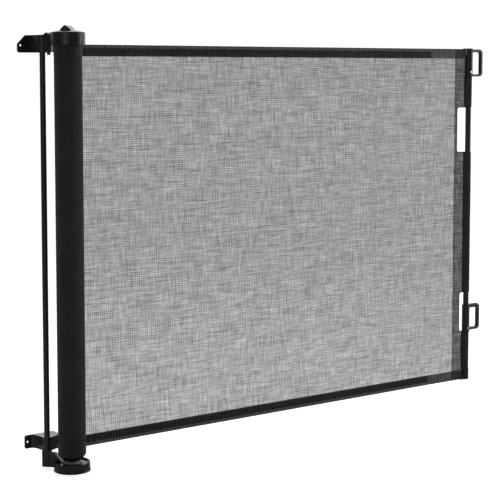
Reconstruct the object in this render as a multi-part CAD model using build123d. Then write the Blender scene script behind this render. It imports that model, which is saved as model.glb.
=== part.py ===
from build123d import *
import math
import os

# Retractable safety gate, millimetres.
# X runs along the wall from the roller towards the pull bar, +Y into the wall, +Z up.
# The origin is on the wall plane, midway between the lower bracket's two screw holes.

# ---- Mesh and layout --------------------------------------------------------
MESH_HEIGHT = 838.0
MESH_LOW = -16.0
MESH_TOP = MESH_LOW + MESH_HEIGHT
ROLLER_X = 35.0
ROLLER_Y = -81.0
ROLL_R = 28.6
PANEL_Y = ROLLER_Y + ROLL_R
BAR_X = ROLLER_X + 1148.0
ROD_X = 0.0
ROD_Y = -38.0
ROD_R = 6.0
PANEL_START_X = 42.0
HEM_X = BAR_X - 46.0
BINDING_WIDTH = 24.0
PANEL_T = 0.8
BINDING_T = 1.8
HEM_T = 1.4
SOFT_GAP = 0.3

# ---- Wall brackets ----------------------------------------------------------
BRACKET_WALL = 3.2
BRACKET_BASE_HALF = 14.0
CROWN_R = 9.5
LOW_BRACKET_HALF_Z = 14.0
LOW_EAR_END = 33.0
LOW_HOLE_X = 26.7
LOW_CROWN_R = 8.3
LOW_SHOULDER_X = 34.0
LOW_SHOULDER_Y = -33.0
SCREW_ACCESS_R = 4.8
HIGH_BRACKET_LOW = MESH_TOP - 17.0
HIGH_BRACKET_TOP = MESH_TOP + 18.5
HIGH_EAR_END = 38.0
HIGH_HOLE_X = 31.0
HIGH_HOLE_Z = MESH_TOP - 2.0
EAR_CHAMFER = 17.5
SCREW_HOLE_R = 2.4
ROD_LOW = MESH_LOW - 29.0
ROD_TOP = HIGH_BRACKET_TOP - 5.0
ROD_WALL = 1.2

# ---- Head -------------------------------------------------------------------
CUP_R = 35.3
CUP_LOW = MESH_TOP + 0.8
CUP_SKIRT = 2.6
SKIRT_INNER_R = 31.5
CUP_FLOOR = CUP_LOW + 2.5
CUP_LEDGE = CUP_LOW + 14.4
CUP_TOP = CUP_LOW + 23.2
CUP_LEDGE_R = 28.5
CUP_BORE_R = 31.0
ROLL_CLEARANCE_R = 33.2
ARM_LOW = HIGH_BRACKET_LOW + 0.5
ARM_HALF = 9.0
HEAD_SCREW_Z = CUP_LOW + 10.2
SPIGOT_R = 6.0
RUNNING_GAP = 0.05

# ---- Lock -------------------------------------------------------------------
WHEEL_R = 17.5
WHEEL_ROOT_R = 14.6
WHEEL_TEETH = 12
WHEEL_LOW = CUP_LOW + 3.5
WHEEL_THICK = 3.8
LOCK_ANGLE = -60.0
PAWL_PIVOT_R = 23.5
PAWL_SWING = 10.0
PAWL_NOSE_ANGLE = 40.0
PAWL_NOSE_R = 18.3
PAWL_LOW = WHEEL_LOW + 0.1
PAWL_TOP = PAWL_LOW + 3.5
PEG_X = 19.0
PEG_Y = -11.0
PEG_R = 1.5
PEG_TOP = CUP_LOW + 13.6
CAM_LOW = CUP_LOW + 10.8
CAM_TOP = CAM_LOW + 3.0
CAM_HUB_R = 9.0
CAM_GAP = 0.3
KNOB_TURN = 90.0
SPINDLE_R = 4.0
SLEEVE_R = 6.5
SLEEVE_LOW = CUP_LOW + 14.2
FLANGE_LOW = CUP_LOW + 21.4
FLANGE_TOP = FLANGE_LOW + 1.2
PLATE_TOP = CUP_LEDGE + 2.0
KNOB_R = 30.6
KNOB_EDGE_LOW = CUP_LOW + 21.5
KNOB_EDGE_TOP = CUP_LOW + 23.5
KNOB_TOP = CUP_LOW + 28.2
RIB_ANGLE = 45.0
RIB_HALF_LENGTH = 19.0
RIB_HALF_WIDTH = 14.0
RIB_TOP = CUP_LOW + 37.0

# ---- Foot -------------------------------------------------------------------
FOOT_LOW = MESH_LOW - 35.0
DISH_R = 37.0
DISH_FLANGE_R = 38.0
DISH_INNER_R = 35.0
DISH_TOP = MESH_LOW - 17.0
DISH_FLOOR = DISH_TOP - 3.4
DISH_SKIN = 2.6
HOLLOW_INNER_R = 15.0
HOLLOW_OUTER_R = 33.0
WELL_FLOOR = FOOT_LOW + 8.0
DISH_UNDER = FOOT_LOW + 3.5
BOSS_R = 20.5
BOSS_SHOULDER = MESH_LOW - 18.6
BOSS_TOP = MESH_LOW - 14.4
BOSS_TOP_R = 17.6
BLOCK_LOW = FOOT_LOW + 4.0
BLOCK_TOP = -LOW_BRACKET_HALF_Z
JOURNAL_R = 8.0
FOOT_BUSH_R = 11.0
SHAFT_R = 4.0

# ---- Roller -----------------------------------------------------------------
TUBE_R = 27.4
TUBE_WALL = 1.4
TUBE_BORE_R = TUBE_R - TUBE_WALL
TUBE_LOW = MESH_LOW + 1.0
TUBE_TOP = MESH_TOP - 1.0
PLUG_R = 17.8
PLUG_LOW = MESH_LOW - 13.6
PLUG_CONE_R = 27.8
PLUG_CONE_TOP = MESH_LOW - 2.5
JOURNAL_LOW = WELL_FLOOR + 1.0
SHAFT_TOP = MESH_LOW + 424.0
SPRING_R = 9.0
SPRING_WIRE_R = 0.9
SPRING_PITCH = 12.0
SPRING_LOW = MESH_LOW + 34.0
SPRING_LENGTH = 360.0

# ---- Pull bar ---------------------------------------------------------------
BAR_R = 7.0
BAR_WALL = 1.2
BAR_LOW = MESH_LOW + 2.0
BAR_TOP = MESH_TOP - 2.0
BAR_SLEEVE_R = 8.5
COLLAR_R = 9.7
LOOP_REACH = 45.0
LOOP_LIMB = 8.4
LOOP_HALF_Y = 4.6
HIGH_LATCH_LOW = MESH_TOP - 69.0
HIGH_LATCH_TOP = MESH_TOP - 0.6
HIGH_LOOP = (MESH_TOP - 68.6, MESH_TOP - 0.6)
HIGH_OPENING = (MESH_TOP - 63.0, MESH_TOP - 8.0)
LOW_LATCH = (MESH_TOP - 718.0, MESH_TOP - 647.0)
LOW_LOOP = (MESH_TOP - 713.0, MESH_TOP - 646.0)
LOW_OPENING = (MESH_TOP - 706.0, MESH_TOP - 656.0)
LATCH_SCREW_RISE = 11.7
GRIP_WINDOW = (MESH_TOP - 258.0, MESH_TOP - 145.0)
GRIP_WINDOW_X = BAR_X - 39.0
LOW_WINDOW = (MESH_TOP - 714.0, MESH_TOP - 613.5)
LOW_WINDOW_X = BAR_X - 24.0
WINDOW_R = 6.0
FIN_REACH = 17.5
FIN_HALF_Y = 3.5
FIN_SLOT_HALF = 1.3
END_CAP_TOP = MESH_TOP + 1.5
END_CAP_LOW = MESH_LOW - 1.0
END_CAP_HEIGHT = 28.0

ARM_ANGLE = math.degrees(math.atan2(ROLLER_Y - ROD_Y, ROLLER_X - ROD_X))
ARM_LENGTH = math.hypot(ROLLER_X - ROD_X, ROLLER_Y - ROD_Y)


# ---- Helpers ----------------------------------------------------------------
def disc(radius, low, high, x=0.0, y=0.0):
    """Upright solid cylinder between two heights."""
    return Pos(x, y, (low + high) / 2) * Cylinder(radius, high - low)


def tube(outer, inner, low, high, x=0.0, y=0.0):
    """Upright ring between two heights."""
    return disc(outer, low, high, x, y) - disc(inner, low - 1, high + 1, x, y)


def block(x_span, y_span, z_span):
    """Box given by its spans along the three axes."""
    middle = [(span[0] + span[1]) / 2 for span in (x_span, y_span, z_span)]
    size = [span[1] - span[0] for span in (x_span, y_span, z_span)]
    return Pos(*middle) * Box(*size)


def upright_prism(points, low, high):
    """Prism with a plan outline given by points."""
    face = make_face(Polyline(*points, close=True))
    return extrude(Pos(0, 0, low) * face, high - low)


def side_prism(points, y_low, y_high):
    """Prism with an outline in X and Z that runs along Y."""
    face = make_face(Polyline(*[(x, y_low, z) for x, z in points], close=True))
    return extrude(face, y_high - y_low, dir=(0, 1, 0))


def along_y(radius, x, z, y_low, y_high):
    """Cylinder along Y."""
    return Pos(x, (y_low + y_high) / 2, z) * Rot(90, 0, 0) * Cylinder(radius, y_high - y_low)


def along_x(radius, y, z, x_low, x_high):
    """Cylinder along X."""
    return Pos((x_low + x_high) / 2, y, z) * Rot(0, 90, 0) * Cylinder(radius, x_high - x_low)


def polar(radius, degrees):
    """Point on a circle."""
    angle = math.radians(degrees)
    return (radius * math.cos(angle), radius * math.sin(angle))


def sector(outer, inner, start, end, low, high, steps=8):
    """Ring sector between two angles."""
    angles = [start + (end - start) * i / steps for i in range(steps + 1)]
    rim = [polar(outer, a) for a in angles]
    hub = [polar(inner, a) for a in reversed(angles)]
    return upright_prism(rim + hub, low, high)


def at_roller(shape):
    """From the roller's axis frame to the gate's frame."""
    return Pos(ROLLER_X, ROLLER_Y, 0) * shape


def at_lock(shape):
    """From the lock's own plan frame to the gate's frame."""
    return at_roller(Rot(0, 0, LOCK_ANGLE) * shape)


def at_arm(shape):
    """From a frame on the rod, with X towards the roller, to the gate's frame."""
    return Pos(ROD_X, ROD_Y, 0) * Rot(0, 0, ARM_ANGLE) * shape


def at_bar(shape):
    """From the pull bar's axis frame to the gate's frame."""
    return Pos(BAR_X, PANEL_Y, 0) * shape


def round_edges(shape, axis, radius, keep):
    """Fillet the edges along an axis that a test picks out."""
    return fillet([e for e in shape.edges().filter_by(axis) if keep(e.center())], radius)


# ---- Wall brackets ----------------------------------------------------------
def bracket_body(ear_end, low, high):
    """Hat section: two ears on the wall, webs coming forward to a crown round the rod."""
    half = BRACKET_BASE_HALF
    ears = block((-ear_end, ear_end), (-BRACKET_WALL, 0), (low, high))
    webs = upright_prism([(-half, 0), (-CROWN_R, ROD_Y), (CROWN_R, ROD_Y), (half, 0)], low, high)
    crown = disc(CROWN_R, low, high, ROD_X, ROD_Y)
    inner = half - BRACKET_WALL
    front = ROD_Y + CROWN_R
    hollow = upright_prism(
        [(-inner, 1), (-CROWN_R + BRACKET_WALL, front), (CROWN_R - BRACKET_WALL, front), (inner, 1)],
        low + BRACKET_WALL,
        high - BRACKET_WALL,
    )
    return ears + webs + crown - hollow


def low_bracket_body(low, high):
    """Left web swept in to the rod, and a broad shoulder on the roller's side."""
    ears = block((-LOW_EAR_END, LOW_EAR_END), (-BRACKET_WALL, 0), (low, high))
    half = BRACKET_BASE_HALF
    left = [(-half - 5, -1.0), (-half - 4, -BRACKET_WALL), (-half, -6.5), (-10.8, -14.0), (-8.8, -26.0)]
    front = [(-LOW_CROWN_R, ROD_Y), (2.2, ROD_Y - 8.0), (LOW_SHOULDER_X, LOW_SHOULDER_Y)]
    right = [(LOW_SHOULDER_X, -1.0)]
    web = upright_prism(left + front + right, low, high)
    web = round_edges(web, Axis.Z, 3.0, lambda c: c.X > LOW_SHOULDER_X - 1 and c.Y < LOW_SHOULDER_Y + 1)
    hollow = upright_prism(
        [(-half + 2, 1), (-6.0, -20.0), (-5.0, ROD_Y + 11), (half + 5, ROD_Y + 11), (half + 5, 1)],
        low + BRACKET_WALL,
        high - BRACKET_WALL,
    )
    return ears + web + disc(LOW_CROWN_R, low, high, ROD_X, ROD_Y) - hollow


def drill_ears(body, hole_x, hole_z):
    for side in (-1, 1):
        body = body - along_y(SCREW_HOLE_R, side * hole_x, hole_z, -BRACKET_WALL - 1, 1)
    return body


def top_wall_bracket():
    body = bracket_body(HIGH_EAR_END, HIGH_BRACKET_LOW, HIGH_BRACKET_TOP)
    body = round_edges(body, Axis.Y, 5.0, lambda c: abs(c.X) > HIGH_EAR_END - 1 and c.Z < HIGH_HOLE_Z)
    for side in (-1, 1):
        corner = [
            (side * (HIGH_EAR_END + 1), HIGH_BRACKET_TOP - EAR_CHAMFER - 1),
            (side * (HIGH_EAR_END + 1), HIGH_BRACKET_TOP + 1),
            (side * (HIGH_EAR_END - EAR_CHAMFER - 1), HIGH_BRACKET_TOP + 1),
        ]
        body = body - side_prism(corner, -BRACKET_WALL - 1, 1)
    body = body - disc(ROD_R, HIGH_BRACKET_LOW - 1, ROD_TOP, ROD_X, ROD_Y)
    body = body - at_arm(along_x(2.0, 0, HEAD_SCREW_Z, 5.0, 12.0))
    return drill_ears(body, HIGH_HOLE_X, HIGH_HOLE_Z)


def bottom_wall_bracket():
    body = low_bracket_body(-LOW_BRACKET_HALF_Z, LOW_BRACKET_HALF_Z)
    body = round_edges(body, Axis.Y, 4.0, lambda c: c.X < 1 - LOW_EAR_END)
    body = body - disc(ROD_R, -LOW_BRACKET_HALF_Z - 1, LOW_BRACKET_HALF_Z + 1, ROD_X, ROD_Y)
    body = body - along_y(SCREW_ACCESS_R, LOW_HOLE_X, 0, ROD_Y - 10, -BRACKET_WALL)
    body = body - along_x(2.0, ROD_Y, 0, ROD_R - 1, LOW_SHOULDER_X + 1)
    return drill_ears(body, LOW_HOLE_X, 0)


def support_rod():
    rod = disc(ROD_R, ROD_LOW, ROD_TOP, ROD_X, ROD_Y)
    return rod - disc(ROD_R - ROD_WALL, ROD_LOW + 2, ROD_TOP - 2, ROD_X, ROD_Y)


def rod_grub_screws():
    lower = along_x(2.0, ROD_Y, 0, ROD_R, ROD_R + 4.0)
    foot = at_arm(along_y(2.0, 0, BLOCK_LOW + 16, ROD_R, 8.2))
    return [lower, foot]


# ---- Head -------------------------------------------------------------------
def head_housing():
    """Round cup over the roll, with an arm that saddles the top bracket's crown."""
    cup = at_roller(disc(CUP_R, CUP_LOW, CUP_TOP))
    cup = cup + at_roller(tube(CUP_R, SKIRT_INNER_R, CUP_LOW - CUP_SKIRT, CUP_LOW))
    cup = fillet(cup.edges().group_by(Axis.Z)[-1], 2.0)
    mesh_exit = (ROLLER_X + 8, ROLLER_X + 60), (PANEL_Y - 4, PANEL_Y + 5), (CUP_LOW - 9, CUP_LOW)
    cup = cup - block(*mesh_exit)
    top = HIGH_BRACKET_TOP
    profile = [
        (4.0, ARM_LOW), (24.0, ARM_LOW), (24.0, top + 1.5), (15.0, top + 1.5), (14.2, top + 4.5),
        (11.0, top + 4.5), (6.0, top + 0.5), (4.0, top + 0.5),
    ]
    arm = side_prism(profile, -ARM_HALF, ARM_HALF)
    arm = round_edges(arm, Axis.X, 2.5, lambda c: c.Z < ARM_LOW + 1)
    arm = arm + disc(3.6, ARM_LOW - 5.5, ARM_LOW + 1, 14.0, 0)
    arm = at_arm(arm) - at_roller(disc(ROLL_CLEARANCE_R, ARM_LOW - 10, CUP_LOW))
    arm = arm - disc(CROWN_R, ARM_LOW - 10, HIGH_BRACKET_TOP, ROD_X, ROD_Y)
    arm = arm - upright_prism(
        [(-BRACKET_BASE_HALF, 0), (-CROWN_R, ROD_Y), (CROWN_R, ROD_Y), (BRACKET_BASE_HALF, 0)],
        HIGH_BRACKET_LOW,
        HIGH_BRACKET_TOP,
    )
    body = cup + arm
    body = body - at_roller(disc(CUP_LEDGE_R, CUP_FLOOR, CUP_TOP))
    body = body - at_roller(disc(CUP_BORE_R, CUP_LEDGE, CUP_TOP + 1))
    body = body - at_roller(disc(JOURNAL_R, CUP_LOW - 1, CUP_FLOOR + 1))
    body = body - at_arm(along_x(2.0, 0, HEAD_SCREW_Z, 5.0, 28.0))
    for angle in PLATE_SCREW_ANGLES:
        x, y = polar(29.8, angle)
        body = body - at_roller(disc(0.8, CUP_LEDGE - 6, CUP_LEDGE + 1, x, y))
    return body


PLATE_SCREW_ANGLES = (70.0, 190.0, 310.0)


def head_fixing_screw():
    wall = ARM_LENGTH - CUP_LEDGE_R
    shank = along_x(2.0, 0, HEAD_SCREW_Z, ROD_R + 0.3, wall + 0.6)
    head = along_x(3.3, 0, HEAD_SCREW_Z, wall + 0.55, wall + 3.2)
    return at_arm(shank + head)


def head_bush():
    sleeve = tube(JOURNAL_R, SPIGOT_R + RUNNING_GAP, CUP_LOW, CUP_FLOOR)
    flange = tube(10.5, SPIGOT_R + RUNNING_GAP, CUP_FLOOR, CUP_FLOOR + 0.8)
    return at_roller(sleeve + flange)


def knob_guide_plate():
    plate = tube(CUP_BORE_R - RUNNING_GAP, SLEEVE_R + RUNNING_GAP, CUP_LEDGE, PLATE_TOP)
    for angle in PLATE_SCREW_ANGLES:
        x, y = polar(29.8, angle)
        plate = plate - disc(0.8, CUP_LEDGE - 1, PLATE_TOP + 1, x, y)
    return at_roller(plate)


def guide_plate_screws():
    screws = []
    for angle in PLATE_SCREW_ANGLES:
        x, y = polar(29.8, angle)
        shank = disc(0.8, CUP_LEDGE - 5, PLATE_TOP, x, y)
        x, y = polar(29.3, angle)
        head = disc(1.5, PLATE_TOP, PLATE_TOP + 0.9, x, y)
        screws.append(at_roller(shank + head))
    return screws


# ---- Lock -------------------------------------------------------------------
def ratchet_wheel():
    wheel = disc(WHEEL_R, WHEEL_LOW, WHEEL_LOW + WHEEL_THICK)
    wheel = wheel - disc(SPIGOT_R, WHEEL_LOW - 1, WHEEL_LOW + WHEEL_THICK + 1)
    gap = [(WHEEL_ROOT_R, -1.7), (WHEEL_R + 1, -2.9), (WHEEL_R + 1, 2.9), (WHEEL_ROOT_R, 1.7)]
    for tooth in range(WHEEL_TEETH):
        turn = PAWL_NOSE_ANGLE + tooth * 360 / WHEEL_TEETH
        cut = Rot(0, 0, turn) * upright_prism(gap, WHEEL_LOW - 1, WHEEL_LOW + WHEEL_THICK + 1)
        wheel = wheel - cut
    return at_lock(wheel)


def lock_pawl():
    """Lever beside the wheel: a nose that drops into a gap and a peg that the cam pushes."""
    body = disc(3.3, PAWL_LOW, PAWL_TOP, PAWL_PIVOT_R, 0)
    body = body + sector(24.6, 20.6, -2, PAWL_NOSE_ANGLE + 7, PAWL_LOW, PAWL_TOP)
    nose = [(PAWL_NOSE_R, -1.1), (21.6, -2.6), (21.6, 2.6), (PAWL_NOSE_R, 1.1)]
    body = body + Rot(0, 0, PAWL_NOSE_ANGLE) * upright_prism(nose, PAWL_LOW, PAWL_TOP)
    tail_x = PEG_X - PAWL_PIVOT_R
    tail = Rot(0, 0, math.degrees(math.atan2(PEG_Y, tail_x))) * block(
        (0, math.hypot(tail_x, PEG_Y)), (-1.8, 1.8), (PAWL_LOW, PAWL_TOP)
    )
    body = body + Pos(PAWL_PIVOT_R, 0, 0) * tail
    body = body + disc(2.2, PAWL_LOW, PAWL_TOP, PEG_X, PEG_Y)
    body = body + disc(PEG_R, PAWL_TOP - 1, PEG_TOP, PEG_X, PEG_Y)
    return at_lock(body - disc(1.55, PAWL_LOW - 1, PAWL_TOP + 1, PAWL_PIVOT_R, 0))


def pawl_pin():
    return at_lock(disc(1.5, CUP_FLOOR, PAWL_TOP + 0.4, PAWL_PIVOT_R, 0))


def pawl_spring():
    leaf = sector(25.4, 25.0, -50, -24, PAWL_LOW + 0.3, PAWL_TOP - 0.3)
    foot = Rot(0, 0, -50) * block((25.0, CUP_LEDGE_R), (-0.2, 0.2), (PAWL_LOW + 0.3, PAWL_TOP - 0.3))
    return at_lock(leaf + foot)


def peg_place(share):
    """Radius and angle of the pawl's peg after a share of its swing."""
    swing = math.radians(PAWL_SWING * share)
    x = PEG_X - PAWL_PIVOT_R
    px = PAWL_PIVOT_R + x * math.cos(swing) - PEG_Y * math.sin(swing)
    py = x * math.sin(swing) + PEG_Y * math.cos(swing)
    return math.hypot(px, py), math.degrees(math.atan2(py, px))


def knob_cam():
    """Hub with a spiral wing whose edge stays just inside the pawl's peg as the knob turns."""
    steps = 12
    edge = []
    for i in range(-2, steps + 3):
        share = i / steps
        radius, angle = peg_place(share)
        edge.append(polar(radius - PEG_R - CAM_GAP, angle - KNOB_TURN * share))
    hub_edge = [polar(CAM_HUB_R - 1, math.degrees(math.atan2(y, x))) for x, y in reversed(edge)]
    wing = upright_prism(edge + hub_edge, CAM_LOW, CAM_TOP)
    cam = at_lock(disc(CAM_HUB_R, CAM_LOW, CAM_TOP) + wing)
    pin = at_roller(along_x(0.8, 0, (CAM_LOW + CAM_TOP) / 2, -CAM_HUB_R, CAM_HUB_R))
    return cam - at_roller(disc(SPINDLE_R, CAM_LOW - 1, CAM_TOP + 1)) - pin


def cam_cross_pin():
    return at_roller(along_x(0.8, 0, (CAM_LOW + CAM_TOP) / 2, -CAM_HUB_R + 0.5, CAM_HUB_R - 0.5))


def knob_sleeve():
    bore = SPINDLE_R + RUNNING_GAP
    sleeve = tube(SLEEVE_R, bore, SLEEVE_LOW, FLANGE_LOW) + tube(12.0, bore, FLANGE_LOW, FLANGE_TOP)
    return at_roller(sleeve)


def coil(radius, wire, pitch, low, height):
    """Round-wire coil about the roller's axis."""
    path = Helix(pitch, height, radius, center=(0, 0, low))
    plane = Plane(origin=path @ 0, z_dir=path % 0)
    return sweep(plane * Circle(wire), path=path)


def knob_spring():
    return at_roller(coil(8.2, 0.35, 1.6, PLATE_TOP + 0.5, FLANGE_LOW - PLATE_TOP - 1.0))


def lock_knob():
    """Shallow dome with a finger rib across it and a spindle below."""
    with BuildPart() as dome:
        with BuildSketch(Plane.XZ):
            with BuildLine():
                ThreePointArc((0, KNOB_TOP), (16, KNOB_TOP - 1.3), (KNOB_R - 0.8, KNOB_EDGE_TOP))
                Line((KNOB_R - 0.8, KNOB_EDGE_TOP), (KNOB_R, KNOB_EDGE_TOP - 0.8))
                Line((KNOB_R, KNOB_EDGE_TOP - 0.8), (KNOB_R, KNOB_EDGE_LOW))
                Line((KNOB_R, KNOB_EDGE_LOW), (KNOB_R - 2, KNOB_EDGE_LOW))
                ThreePointArc((KNOB_R - 2, KNOB_EDGE_LOW), (16, KNOB_TOP - 3.6), (0, KNOB_TOP - 2.2))
                Line((0, KNOB_TOP - 2.2), (0, KNOB_TOP))
            make_face()
        revolve(axis=Axis.Z)
    spindle = disc(SPINDLE_R, CAM_LOW, KNOB_TOP - 2)
    boss = disc(9.0, FLANGE_TOP + 0.1, KNOB_TOP - 2)
    pin = along_x(0.8, 0, (CAM_LOW + CAM_TOP) / 2, -CAM_HUB_R, CAM_HUB_R)
    return at_roller(dome.part + boss + spindle - pin + finger_rib())


def finger_rib():
    base = KNOB_TOP - 3.4
    width = RIB_HALF_WIDTH
    half = RIB_HALF_LENGTH
    outline = make_face(
        Polyline((-width, -half, base), (0, -half, RIB_TOP + 1.2), (width, -half, base), close=True)
    )
    rib = extrude(outline, 2 * half, dir=(0, 1, 0))
    rib = round_edges(rib, Axis.Y, 5.0, lambda c: c.Z > RIB_TOP - 2)
    rib = rib & disc(half + 0.6, base - 1, RIB_TOP + 2)
    return Rot(0, 0, RIB_ANGLE - 90) * rib


# ---- Foot -------------------------------------------------------------------
FOOT_NOTCH_ANGLES = (55.0, 175.0, 295.0)
COVER_SCREW_ANGLES = (69.0, 189.0, 309.0)
COVER_SCREW_RING = 27.0


def foot_dish():
    """Shallow round dish with a conical boss in the middle and a flared lower edge."""
    flare = DISH_FLANGE_R - DISH_R
    profile = [
        (0, DISH_UNDER), (HOLLOW_INNER_R, DISH_UNDER), (HOLLOW_INNER_R, DISH_FLOOR - DISH_SKIN),
        (HOLLOW_OUTER_R, DISH_FLOOR - DISH_SKIN), (DISH_INNER_R, DISH_FLOOR - DISH_SKIN - 3),
        (DISH_INNER_R, FOOT_LOW), (DISH_FLANGE_R, FOOT_LOW), (DISH_FLANGE_R, FOOT_LOW + 1.4),
        (DISH_R + 0.35 * flare, FOOT_LOW + 2.4), (DISH_R, FOOT_LOW + 4.5), (DISH_R, DISH_TOP - 0.9),
        (DISH_R - 0.3, DISH_TOP - 0.3), (DISH_R - 0.9, DISH_TOP), (DISH_INNER_R, DISH_TOP),
        (DISH_INNER_R - 0.8, DISH_TOP - 1.0), (DISH_INNER_R - 0.8, DISH_FLOOR), (BOSS_R, DISH_FLOOR),
        (BOSS_R, BOSS_SHOULDER), (FOOT_BUSH_R, BOSS_SHOULDER), (FOOT_BUSH_R, WELL_FLOOR), (0, WELL_FLOOR),
    ]
    face = make_face(Polyline(*[(x, 0, z) for x, z in profile], close=True))
    return revolve(face, axis=Axis.Z)


def foot_housing():
    dish = foot_dish()
    for angle in COVER_SCREW_ANGLES:
        x, y = polar(COVER_SCREW_RING, angle)
        dish = dish + disc(3.5, FOOT_LOW + 1.5, DISH_FLOOR - 1.0, x, y)
        dish = dish - disc(1.2, FOOT_LOW, DISH_FLOOR - 1.4, x, y)
    for angle in FOOT_NOTCH_ANGLES:
        notch = block((DISH_R - 0.9, DISH_R + 3), (-1.5, 1.5), (FOOT_LOW + 5, DISH_TOP + 1))
        dish = dish - Rot(0, 0, angle) * notch
    rod_block = block((-9, 8), (-8.5, 8.5), (BLOCK_LOW, BLOCK_TOP))
    rod_block = fillet(rod_block.edges().filter_by(Axis.Z), 2.5)
    gusset = [
        (6, BLOCK_LOW), (19.5, BLOCK_LOW), (19.5, DISH_FLOOR - 1), (36.0, DISH_FLOOR - 1),
        (34.8, DISH_FLOOR + 1), (20, MESH_LOW - 3), (6, MESH_LOW - 2),
    ]
    arm = at_arm(rod_block + side_prism(gusset, -7, 7))
    arm = arm - at_roller(disc(DISH_INNER_R, FOOT_LOW - 1, DISH_FLOOR - DISH_SKIN))
    body = at_roller(dish) + arm
    body = body - disc(ROD_R, ROD_LOW, BLOCK_TOP + 1, ROD_X, ROD_Y)
    body = body - at_arm(along_y(2.0, 0, BLOCK_LOW + 16, ROD_R - 1, 9.5))
    return body - at_roller(disc(SHAFT_R, DISH_UNDER - 1, WELL_FLOOR + 1))


def foot_bush():
    """Bearing with a conical flange that sits on the boss under the roll."""
    rise = BOSS_TOP - BOSS_SHOULDER
    bush = disc(FOOT_BUSH_R, WELL_FLOOR, BOSS_SHOULDER + 0.5)
    bush = bush + Pos(0, 0, BOSS_SHOULDER + rise / 2) * Cone(BOSS_R - 0.2, BOSS_TOP_R, rise)
    return at_roller(bush - disc(JOURNAL_R + RUNNING_GAP, WELL_FLOOR - 1, BOSS_TOP + 1))


def foot_cover():
    cover = disc(DISH_INNER_R - 0.1, FOOT_LOW, FOOT_LOW + 1.5)
    for angle in COVER_SCREW_ANGLES:
        x, y = polar(COVER_SCREW_RING, angle)
        cover = cover - disc(1.2, FOOT_LOW - 1, FOOT_LOW + 2, x, y)
        cover = cover - disc(2.4, FOOT_LOW - 1, FOOT_LOW + 0.8, x, y)
    return at_roller(cover)


def foot_cover_screws():
    screws = []
    for angle in COVER_SCREW_ANGLES:
        x, y = polar(COVER_SCREW_RING, angle)
        screw = disc(2.4, FOOT_LOW + 0.1, FOOT_LOW + 0.8, x, y)
        screw = screw + disc(1.2, FOOT_LOW + 0.5, FOOT_LOW + 9.0, x, y)
        screws.append(at_roller(screw))
    return screws


def spring_shaft():
    return at_roller(disc(SHAFT_R, DISH_UNDER - 1.5, SHAFT_TOP))


def shaft_nut():
    nut = upright_prism([polar(7, 60 * i) for i in range(6)], DISH_UNDER - 1.4, DISH_UNDER)
    return at_roller(nut - disc(SHAFT_R, FOOT_LOW, WELL_FLOOR))


def spring_fixed_collar():
    return at_roller(tube(7.6, SHAFT_R, SPRING_LOW - 8, SPRING_LOW + 3))


# ---- Roller -----------------------------------------------------------------
def roller_tube():
    return at_roller(tube(TUBE_R, TUBE_BORE_R, TUBE_LOW, TUBE_TOP))


def roller_top_plug():
    plug = disc(TUBE_BORE_R, TUBE_TOP - 15, TUBE_TOP) + disc(TUBE_R - 0.4, TUBE_TOP, TUBE_TOP + 0.8)
    plug = plug + disc(SPIGOT_R, TUBE_TOP, WHEEL_LOW + WHEEL_THICK + 0.2)
    return at_roller(plug - disc(20, TUBE_TOP - 16, TUBE_TOP - 3))


def roller_bottom_plug():
    plug = disc(TUBE_BORE_R, TUBE_LOW, TUBE_LOW + 17) + disc(TUBE_R, MESH_LOW - 0.5, TUBE_LOW)
    drop = PLUG_CONE_TOP - PLUG_LOW
    plug = plug + disc(PLUG_CONE_R, PLUG_CONE_TOP, MESH_LOW - 0.5)
    plug = plug + Pos(0, 0, PLUG_LOW + drop / 2) * Cone(PLUG_R, PLUG_CONE_R, drop)
    plug = plug + disc(JOURNAL_R, JOURNAL_LOW, PLUG_LOW)
    plug = plug - disc(20, TUBE_LOW + 4, TUBE_LOW + 20)
    return at_roller(plug - disc(SHAFT_R + RUNNING_GAP, JOURNAL_LOW - 1, TUBE_LOW + 20))


def spring_drive_collar():
    low = SPRING_LOW + SPRING_LENGTH + 4
    collar = tube(TUBE_BORE_R, SHAFT_R + RUNNING_GAP, low, low + 12)
    for turn in range(4):
        x, y = polar(16, 45 + 90 * turn)
        collar = collar - disc(5, low - 1, low + 13, x, y)
    keyway = block((-TUBE_BORE_R - 1, -TUBE_BORE_R + 3.1), (-4.1, 4.1), (low - 1, low + 13))
    return at_roller(collar - keyway)


def torsion_spring():
    return at_roller(coil(SPRING_R, SPRING_WIRE_R, SPRING_PITCH, SPRING_LOW + 2, SPRING_LENGTH))


def mesh_anchor_strip():
    strip = block((-TUBE_BORE_R, -TUBE_BORE_R + 3), (-4, 4), (TUBE_LOW + 20, TUBE_TOP - 20))
    return at_roller(strip & disc(TUBE_BORE_R, TUBE_LOW, TUBE_TOP))


def wound_layer(outer, low, high):
    return at_roller(tube(outer, TUBE_R, low, high))


# ---- Mesh panel -------------------------------------------------------------
def flat_strip(x_span, thickness, z_span):
    return block(x_span, (PANEL_Y - thickness / 2, PANEL_Y + thickness / 2), z_span)


def mesh_panel():
    z_span = (MESH_LOW + BINDING_WIDTH + SOFT_GAP, MESH_TOP - BINDING_WIDTH - SOFT_GAP)
    return flat_strip((PANEL_START_X, HEM_X - SOFT_GAP), PANEL_T, z_span)


def panel_binding(low):
    start = PANEL_START_X + 4
    return flat_strip((start, HEM_X - SOFT_GAP), BINDING_T, (low, low + BINDING_WIDTH))


# ---- Pull bar ---------------------------------------------------------------
def pull_bar():
    bar = tube(BAR_R, BAR_R - BAR_WALL, BAR_LOW, BAR_TOP)
    for low in (HIGH_LATCH_LOW, LOW_LATCH[0]):
        bar = bar - along_y(1.4, 0, low + LATCH_SCREW_RISE, -BAR_R - 1, 0)
    return at_bar(bar)


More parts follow.
